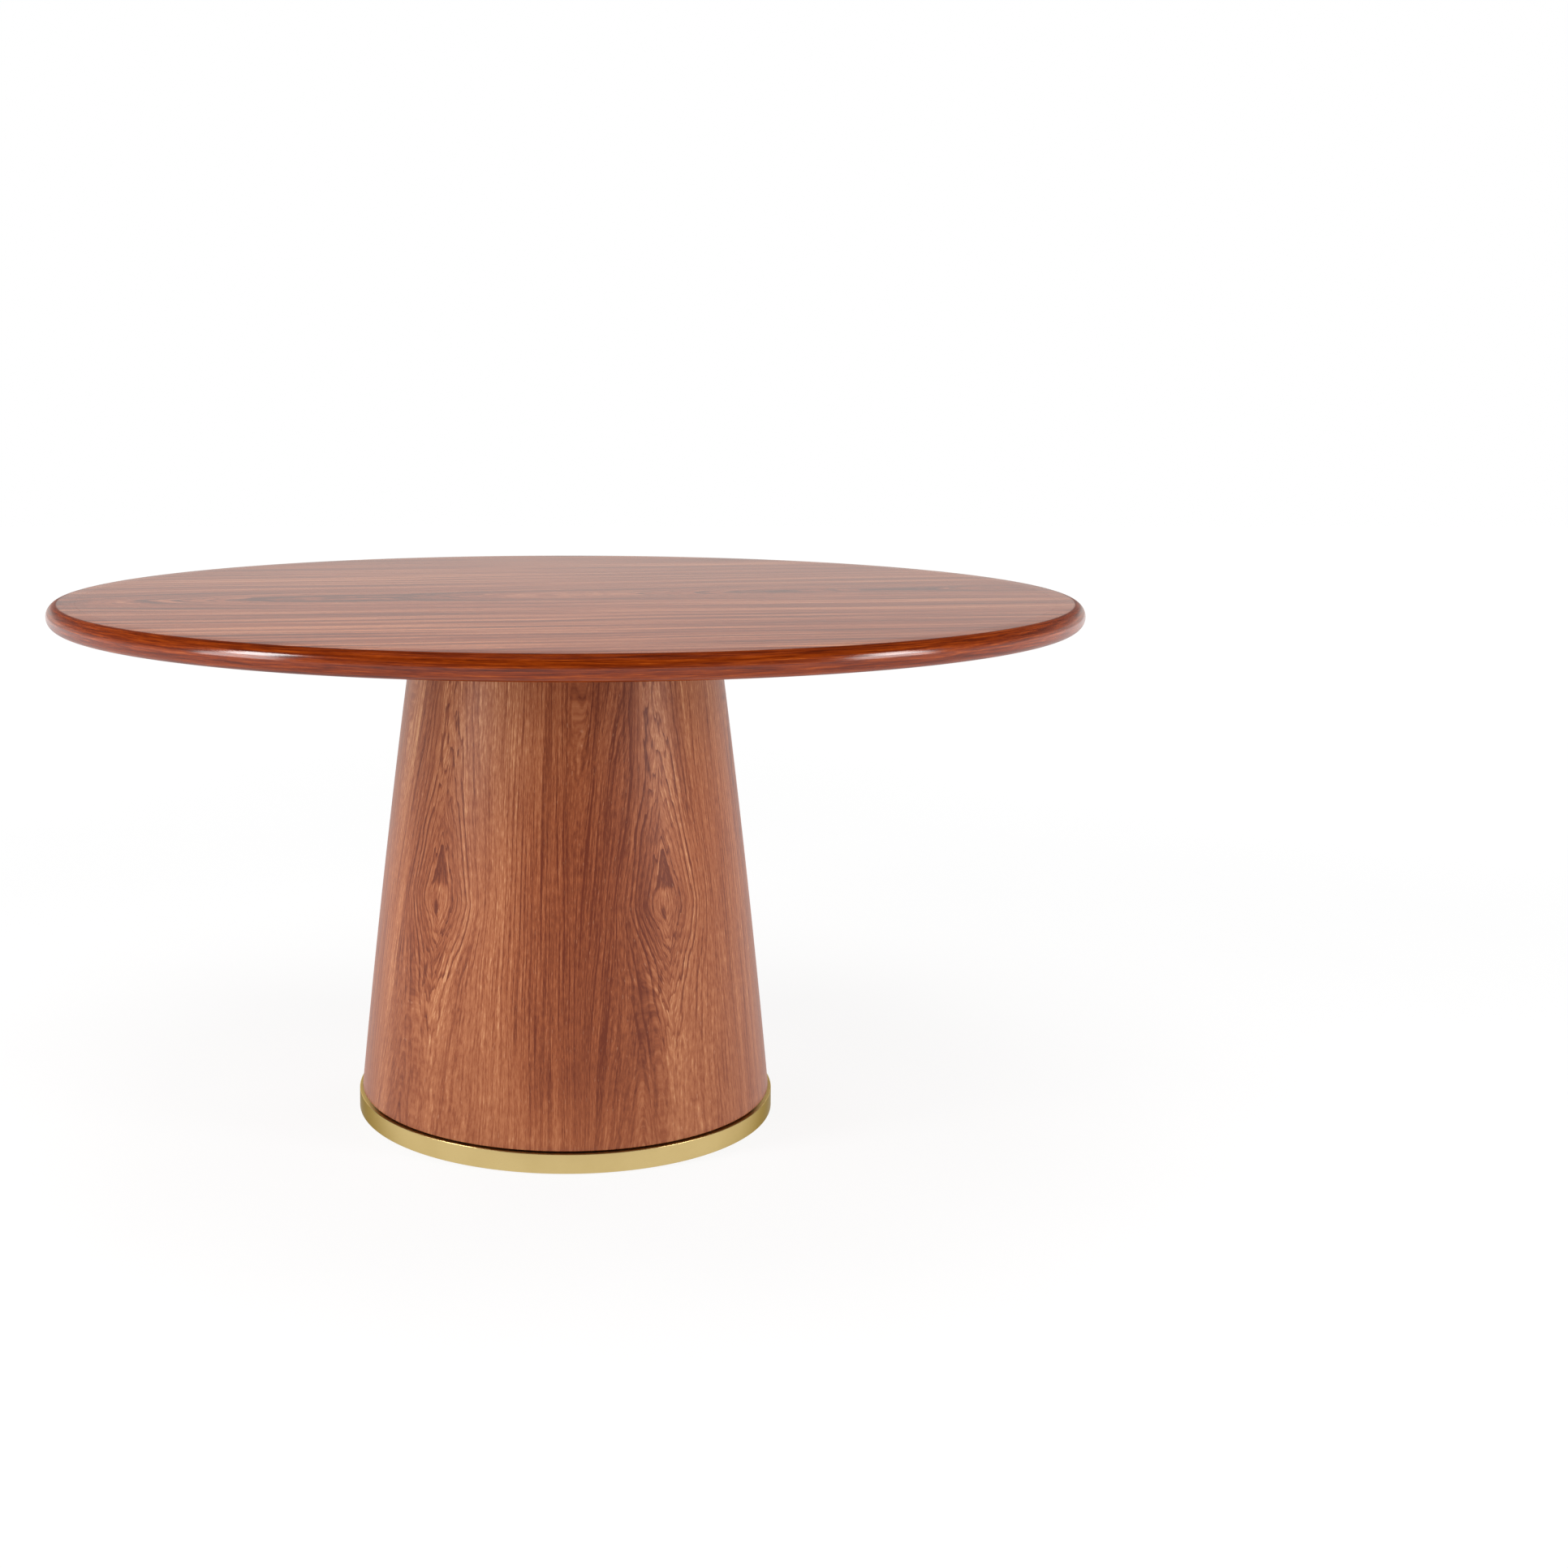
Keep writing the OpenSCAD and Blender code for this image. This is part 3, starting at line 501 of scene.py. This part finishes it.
def top_material():
    mt, t, b, obj = material("top_lacquered_veneer")
    x, y, z = t.split(obj)
    r = t.radius(x, y)
    up = t.m("DIVIDE", t.sub(z, UNDER_Z), 2 * EDGE_R)
    face, out, thin = face_veneer(t, x, y)
    edge, edge_grain = edge_timber(t, x, y, z, r, up)
    rim = t.step(r, TOP_R - EDGE_R + 0.0004, TOP_R - EDGE_R + 0.0030)
    not_rim = t.sub(1.0, rim)
    under = t.step(z, UNDER_Z + 0.0010, UNDER_Z + 0.0004)
    col = t.mix(rim, face, edge)
    # thin dark glue line where the face veneer stops
    off_joint = t.m("ABSOLUTE", t.sub(r, TOP_R - EDGE_R + 0.0018))
    glue = t.mul(t.step(off_joint, 0.0008, 0.0045, 0.24, 0.0), t.sub(1.0, under))
    col = t.mix(glue, col, EDGE_DARK)
    # the underside has the same veneer, paler
    back = t.ramp(out, [(0.0, BACK_DARK), (1.0, BACK_LIGHT)])
    col = t.mix(t.mul(under, not_rim), col, back)
    t.put(b.inputs["Base Color"], col)
    rough = t.add(t.mul(not_rim, 0.12), t.add(0.24, t.mul(t.sub(edge_grain, 0.5), 0.10)))
    t.put(b.inputs["Roughness"], rough)
    relief = t.add(t.mul(t.mul(not_rim, thin), 0.6), t.mul(t.mul(rim, edge_grain), 0.4))
    t.put(b.inputs["Normal"], t.bump(relief, 0.07, 0.0005))
    b.inputs["Specular IOR Level"].default_value = 0.0
    # the lacquer is rubbed thinner where the edge turns into the face and towards the underside
    t.put(b.inputs["Coat Weight"], t.mix(rim, 1.0, t.ramp(up, EDGE_FILM)))
    b.inputs["Coat Roughness"].default_value = 0.16
    return mt


# ---------------------------------------------------------------- plain workshop woods
def beech(name, along):
    """Oiled beech with its grain along X or Y."""
    mt, t, b, obj = material(name)
    x, y, z = t.split(obj)
    v, s = (x, y) if along == "x" else (y, x)
    g1 = t.noise(t.vec(t.mul(v, 2.5), t.mul(s, 42.0), t.mul(z, 42.0)), 1.0, 3.0, 0.55, 0.4)
    g2 = t.noise(t.vec(t.mul(v, 16.0), t.mul(s, 420.0), t.mul(z, 420.0)), 1.0, 3.0, 0.6)
    fleck = t.noise(t.vec(t.mul(v, 160.0), t.mul(s, 900.0), t.mul(z, 900.0)), 1.0, 1.0)
    col = t.ramp(t.sub(t.add(t.mul(g1, 0.9), t.mul(g2, 0.55)), 0.22), BEECH)
    fleck_colour = tuple(0.45 * c for c in BEECH_DARK)
    col = t.mix(t.step(fleck, 0.66, 0.75, 0.0, 0.5), col, fleck_colour)
    t.put(b.inputs["Base Color"], col)
    t.put(b.inputs["Roughness"], t.add(0.46, t.mul(t.sub(g2, 0.5), 0.2)))
    t.put(b.inputs["Normal"], t.bump(t.add(g2, t.mul(fleck, 0.5)), 0.2, 0.0006))
    b.inputs["Coat Weight"].default_value = 0.15
    b.inputs["Coat Roughness"].default_value = 0.35
    return mt


def plywood(name):
    """Birch faces, dark and light plies on the edges; the plies are stacked along Z."""
    mt, t, b, obj = material(name)
    x, y, z = t.split(obj)
    face = t.noise(t.vec(t.mul(x, 5.0), t.mul(y, 90.0), t.mul(z, 30.0)), 1.0, 4.0, 0.6, 0.6)
    ply = t.m("FRACT", t.mul(z, 1 / PLY))
    dark = t.step(t.m("ABSOLUTE", t.sub(ply, 0.5)), 0.20, 0.34)
    col = t.ramp(face, [(0.2, rgb(176, 134, 92)), (0.8, rgb(216, 180, 136))])
    normal = t.new("ShaderNodeNewGeometry").outputs["Normal"]
    side = t.step(t.m("ABSOLUTE", t.split(normal)[2]), 0.9, 0.5)
    col = t.mix(t.mul(t.mul(side, dark), 0.6), col, rgb(104, 70, 44))
    t.put(b.inputs["Base Color"], col)
    t.put(b.inputs["Roughness"], t.add(0.55, t.mul(face, 0.2)))
    t.put(b.inputs["Normal"], t.bump(face, 0.15, 0.0005))
    return mt


# ---------------------------------------------------------------- metals, rubber, nylon, paint
def metal(name, colour, dull, rough, brush, stain=0.25, scratch=0.10):
    """Metal; brush is how fine its texture is, or "round" for the foot ring, which is brushed round Z."""
    mt, t, b, obj = material(name)
    x, y, z = t.split(obj)
    if brush == "round":
        v = t.vec(t.mul(t.m("ARCTAN2", x, y), 10.0), t.mul(t.radius(x, y), 1500.0), t.mul(z, 1500.0))
    else:
        v = t.vec(t.mul(x, brush), t.mul(y, brush), t.mul(z, brush))
    fine = t.noise(v, 1.0, 3.0, 0.6)
    cloud = t.noise(obj, 14.0, 3.0, 0.55)
    col = t.mix(t.mul(t.step(cloud, 0.35, 0.75), stain), colour, dull)
    col = t.mix(t.mul(fine, 0.18), col, dull)
    gloss = t.add(t.add(rough, t.mul(t.sub(fine, 0.5), 0.12)), t.mul(t.sub(cloud, 0.5), 0.08))
    b.inputs["Metallic"].default_value = 1.0
    b.inputs["Specular Tint"].default_value = (*[0.80 * c ** 0.6 for c in colour], 1)
    # the foot ring also gets painted shade and a painted reflection
    if brush == "round":
        col, gloss = ring_painted_light(t, b, x, z, col, gloss)
    t.put(b.inputs["Base Color"], col)
    t.put(b.inputs["Roughness"], gloss)
    t.put(b.inputs["Normal"], t.bump(fine, scratch, 0.0003))
    return mt


def ring_painted_light(t, b, x, z, col, gloss):
    """Painted shade and a painted reflection on the ring: its face is painted darker where it is seen edge
    on, and its flat top mirrors the wood in front and behind but is painted a dull gold at the sides.
    """
    flat_top = t.step(z, RING_Z1 - 0.0008, RING_Z1 - 0.0001)
    # painted shade: darker where the face is seen edge on
    edge_on_painted_shade = t.step(t.new("ShaderNodeLayerWeight").outputs["Facing"], 0.35, 0.90, 0.0, 0.55)
    col = t.mix(t.mul(edge_on_painted_shade, t.sub(1.0, flat_top)), col, rgb(90, 66, 56))
    # painted reflection: the flat top dull gold at the left and right
    top_sides_painted_reflection = t.mul(flat_top, t.step(t.m("ABSOLUTE", x), 0.262, 0.296))
    col = t.mix(top_sides_painted_reflection, col, rgb(214, 192, 122))
    t.put(b.inputs["Metallic"], t.sub(1.0, t.mul(top_sides_painted_reflection, 0.9)))
    return col, t.add(gloss, t.mul(top_sides_painted_reflection, 0.30))


def matt(name, dark, light, rough, scale, strength=0.3):
    """Fine even texture, for rubber, nylon and paint."""
    mt, t, b, obj = material(name)
    n1 = t.noise(obj, scale, 4.0, 0.6)
    n2 = t.noise(obj, scale * 0.07, 2.0, 0.5)
    t.put(b.inputs["Base Color"], t.mix(t.add(t.mul(n1, 0.5), t.mul(n2, 0.5)), dark, light))
    t.put(b.inputs["Roughness"], t.add(rough, t.mul(t.sub(n1, 0.5), 0.18)))
    t.put(b.inputs["Normal"], t.bump(n1, strength, 0.0005))
    return mt


MATS = {
    "pedestal_veneer": pedestal_material(),
    "top_veneer": top_material(),
    "beech": beech("beech_oiled", "y"),
    "beech_x": beech("beech_rail", "x"),
    "plywood": plywood("birch_plywood"),
    "ring_brass": metal("satin_brass", rgb(214, 190, 132), rgb(180, 152, 92), 0.30, "round", 0.2, 0.06),
    "hardware_brass": metal("polished_brass", rgb(214, 176, 96), rgb(150, 112, 52), 0.20, 300),
    "bronze": metal("sintered_bronze", rgb(176, 124, 66), rgb(118, 78, 40), 0.38, 700),
    "steel": metal("zinc_plated_steel", rgb(196, 198, 200), rgb(142, 146, 152), 0.30, 400),
    "ballast_steel": matt("ballast_primer", rgb(60, 64, 68), rgb(92, 96, 100), 0.55, 260.0),
    "rubber": matt("rubber", rgb(28, 28, 28), rgb(52, 52, 52), 0.72, 900.0, 0.35),
    "black_paint": matt("black_board", rgb(14, 12, 11), rgb(34, 28, 25), 0.70, 500.0),
    "nylon": matt("nylon", rgb(34, 35, 37), rgb(58, 60, 62), 0.5, 1200.0, 0.2),
}
MATS["lipping"] = MATS["top_veneer"]


# ---------------------------------------------------------------- mesh helpers
replaced = set()


def piece(name, node, me, mat):
    """A finer mesh that stands for one CAD node, rides its body and takes the material it is given."""
    me.materials.clear()
    me.materials.append(mat)
    o = bpy.data.objects.new(name, me)
    scene.collection.objects.link(o)
    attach(o, body_of[node])
    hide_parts(node)
    replaced.add(node)
    return o


def smooth(obj, angle=30.0):
    """Smooth shading, with an edge kept wherever the surface turns by more than the angle in degrees."""
    bm = bmesh.new()
    bm.from_mesh(obj.data)
    for f in bm.faces:
        f.smooth = True
    limit = math.radians(angle)
    for e in bm.edges:
        e.smooth = not (len(e.link_faces) == 2 and e.calc_face_angle(0) > limit)
    bm.to_mesh(obj.data)
    bm.free()


def new_mesh(bm, name):
    bmesh.ops.recalc_face_normals(bm, faces=bm.faces)
    me = bpy.data.meshes.new(name)
    bm.to_mesh(me)
    bm.free()
    return me


def revolve(profile, a0=0.0, a1=360.0, segs=360):
    """Closed profile [(r, z)] turned round Z from a0 to a1 degrees, 0 in front and positive to the right."""
    full = abs(a1 - a0) >= 360
    n = len(profile)
    bm = bmesh.new()
    rows = []
    for i in range(segs if full else segs + 1):
        a = math.radians(a0 + (a1 - a0) * i / segs)
        rows.append([bm.verts.new((r * math.sin(a), -r * math.cos(a), z)) for r, z in profile])
    for i in range(segs):
        p, q = rows[i], rows[(i + 1) % len(rows)]
        for j in range(n):
            k = (j + 1) % n
            bm.faces.new((p[j], q[j], q[k], p[k]))
    if not full:
        bm.faces.new(rows[0])
        bm.faces.new(list(reversed(rows[-1])))
    bmesh.ops.remove_doubles(bm, verts=bm.verts, dist=1e-7)
    return new_mesh(bm, "revolved")


def arc(cx, cz, r, a0, a1, n):
    """Points (r, z) along an arc in a profile, from a0 to a1 degrees."""
    angles = [math.radians(a0 + (a1 - a0) * i / n) for i in range(n + 1)]
    return [(cx + r * math.cos(a), cz + r * math.sin(a)) for a in angles]


def coil(x, z, y0, y1, radius, wire, turns, steps=40, sides=12):
    """Wire spring along Y between y0 and y1: its end turns lie close, the others are evenly apart."""
    close = 2 * wire
    first = y0 + wire
    pitch = (y1 - y0 - 2 * wire - 2 * close) / (turns - 2)
    bm = bmesh.new()
    rows = []
    for i in range(turns * steps + 1):
        n = i / steps
        end_turns = min(n, 1) + max(n - turns + 1, 0)
        y = first + close * end_turns + pitch * min(max(n - 1, 0), turns - 2)
        a = 2 * math.pi * n
        row = []
        for k in range(sides):
            b = 2 * math.pi * k / sides
            r = radius + wire * math.cos(b)
            row.append(bm.verts.new((x + r * math.cos(a), y + wire * math.sin(b), z + r * math.sin(a))))
        rows.append(row)
    for p, q in zip(rows, rows[1:]):
        for k in range(sides):
            bm.faces.new((p[k], p[(k + 1) % sides], q[(k + 1) % sides], q[k]))
    bm.faces.new(rows[0])
    bm.faces.new(list(reversed(rows[-1])))
    return new_mesh(bm, "coil")


# ---------------------------------------------------------------- the edge of the top
half_round = arc(TOP_R - EDGE_R, UNDER_Z + EDGE_R, EDGE_R - LIPPING_CLEAR, -90, 90, 40)
edge_profile = [(CORE_R, UNDER_Z)] + half_round + [(CORE_R, TOP_Z)]
LIPPING_ANGLE = 360 / LIPPINGS
for i in range(LIPPINGS):
    me = revolve(edge_profile, (i - 0.5) * LIPPING_ANGLE, (i + 0.5) * LIPPING_ANGLE, 84)
    smooth(piece(f"edge_lipping_{i + 1}", f"lipping_{i + 1}", me, MATS["lipping"]), 60)


# ---------------------------------------------------------------- the pedestal's leaves
def shell_profile(z0, z1, n):
    """Cross section of the shell: rounded at the foot, tapering with the swell in n steps."""
    outer = []
    for k in range(5):
        a = math.radians(18 * k)
        inset = SHELL_ROUND * (1 - math.sin(a))
        outer.append((pedestal_radius(z0 + SHELL_ROUND) - inset, z0 + SHELL_ROUND * (1 - math.cos(a))))
    for k in range(n + 1):
        z = z0 + SHELL_ROUND + (z1 - z0 - SHELL_ROUND) * k / n
        outer.append((pedestal_radius(z), z))
    return outer + [(pedestal_radius(z1) - SHELL_T, z1), (pedestal_radius(z0) - SHELL_T, z0)]


LEAF_ANGLE = 360 / LEAVES
for i in range(LEAVES):
    me = revolve(shell_profile(FOOT_Z, SHELL_TOP, 48), i * LEAF_ANGLE, (i + 1) * LEAF_ANGLE, 90)
    smooth(piece(f"pedestal_leaf_{i + 1}", f"shell_panel_{i + 1}", me, MATS["pedestal_veneer"]))

# ---------------------------------------------------------------- the foot ring, thin with a flat top
ring_profile = [(RING_R - RING_WALL, RING_Z0)]
ring_profile += arc(RING_R - RING_FOOT_ROUND, RING_Z0 + RING_FOOT_ROUND, RING_FOOT_ROUND, -90, 0, 4)
ring_profile += arc(RING_R - RING_TOP_ROUND, RING_Z1 - RING_TOP_ROUND, RING_TOP_ROUND, 0, 90, 8)
ring_profile += [(RING_INNER, RING_Z1), (RING_INNER, RING_Z1 - RING_WALL)]
ring_profile += [(RING_R - RING_WALL, RING_Z1 - RING_WALL)]
smooth(piece("brass_foot_ring", "foot_ring", revolve(ring_profile), MATS["ring_brass"]))


# ---------------------------------------------------------------- small parts: CAD shapes with eased edges
def ease(node, mat, width):
    """A copy of the CAD node's mesh with its flat faces joined and its edges bevelled."""
    me = nodes[node].data.copy()
    bm = bmesh.new()
    bm.from_mesh(me)
    bmesh.ops.remove_doubles(bm, verts=bm.verts, dist=2e-6)
    bmesh.ops.dissolve_limit(bm, angle_limit=math.radians(0.3), verts=bm.verts, edges=bm.edges)
    bmesh.ops.recalc_face_normals(bm, faces=bm.faces)
    bm.to_mesh(me)
    bm.free()
    normals = me.attributes.get("custom_normal") if me.has_custom_normals else None
    if normals:
        me.attributes.remove(normals)
    o = piece(f"{node}_eased", node, me, mat)
    smooth(o, 28)
    md = o.modifiers.new("eased_edges", "BEVEL")
    md.width = width
    md.segments = 2
    md.limit_method = "ANGLE"
    md.angle_limit = math.radians(40)
    md.harden_normals = False


EASED = {
    "cheek_left": ("beech", 0.0015),
    "cheek_right": ("beech", 0.0015),
    "bearer_left": ("beech", 0.0015),
    "bearer_right": ("beech", 0.0015),
    "front_rail": ("beech_x", 0.0012),
    "rear_rail": ("beech_x", 0.0012),
    "latch_case": ("hardware_brass", 0.0006),
    "latch_bolt": ("hardware_brass", 0.0004),
    "strike_plate": ("hardware_brass", 0.0003),
    "rest_pads": ("rubber", 0.0006),
}
for node, (mat, width) in EASED.items():
    ease(node, MATS[mat], width)

# ---------------------------------------------------------------- the latch spring, a wire coil
spring_lo, spring_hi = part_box("latch_spring")
spring_x = (spring_lo.x + spring_hi.x) / 2
spring_z = (spring_lo.z + spring_hi.z) / 2
spring_r = (spring_hi.x - spring_lo.x) / 2 - SPRING_WIRE
spring_mesh = coil(spring_x, spring_z, spring_lo.y, spring_hi.y, spring_r, SPRING_WIRE, SPRING_TURNS)
spring = piece("latch_spring_coil", "latch_spring", spring_mesh, MATS[slot_of["latch_spring"]])
smooth(spring, 60)
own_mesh(spring)

# ---------------------------------------------------------------- the other CAD nodes keep their shape
for node, o in nodes.items():
    if node in replaced:
        continue
    mat = MATS[slot_of[node]]
    if o.material_slots:
        for s in o.material_slots:
            s.material = mat
    else:
        o.data.materials.append(mat)


# ---------------------------------------------------------------- floor and surroundings
def pale_floor():
    """Floor that catches a soft shadow near the table and fades into the white surroundings."""
    mt, t, b, obj = material("pale_floor")
    x, y, _ = t.split(obj)
    away = t.step(t.radius(x, y), 0.9, 4.5)
    shade = t.mul(t.sub(1.0, away), t.add(0.13, t.mul(t.noise(obj, 3.0, 2.0), 0.01)))
    t.put(b.inputs["Base Color"], t.vec(shade, shade, shade))
    b.inputs["Roughness"].default_value = 0.9
    b.inputs["Specular IOR Level"].default_value = 0.0
    b.inputs["Emission Color"].default_value = (1, 1, 1, 1)
    t.put(b.inputs["Emission Strength"], t.add(0.86, t.mul(away, 0.16)))
    bm = bmesh.new()
    bmesh.ops.create_grid(bm, x_segments=8, y_segments=8, size=14.0)
    me = bpy.data.meshes.new("floor")
    bm.to_mesh(me)
    bm.free()
    me.materials.append(mt)
    floor = bpy.data.objects.new("floor", me)
    scene.collection.objects.link(floor)


def studio_world():
    """White to the camera. What the table reflects is bright near the horizon and darker above, and
    dimmer in front of the table than behind it."""
    world = bpy.data.worlds.new("studio")
    scene.world = world
    world.use_nodes = True
    t = Tree(world.node_tree)
    background = world.node_tree.nodes["Background"]
    _, dy, dz = t.split(t.new("ShaderNodeTexCoord").outputs["Generated"])
    elevation = t.mul(t.m("ARCSINE", dz), 2 / math.pi)
    band = t.ramp(elevation, [(0.0, 1.0), (0.048, 1.0), (0.060, 0.94), (0.078, 0.50), (0.20, 0.22),
                              (0.35, 0.09), (1.0, 0.04)])
    behind = t.add(t.mul(dy, 0.5), 0.5)
    facing = t.ramp(behind, [(0.0, 0.35), (0.35, 0.45), (0.62, 0.9), (1.0, 1.0)], "EASE")
    glow = t.mul(t.mul(band, facing), 0.67)
    cam_ray = t.new("ShaderNodeLightPath").outputs["Is Camera Ray"]
    t.put(background.inputs["Color"], t.mix(cam_ray, (1.0, 0.97, 0.93), (1, 1, 1)))
    t.put(background.inputs["Strength"], t.m("MAXIMUM", glow, cam_ray))


pale_floor()
studio_world()
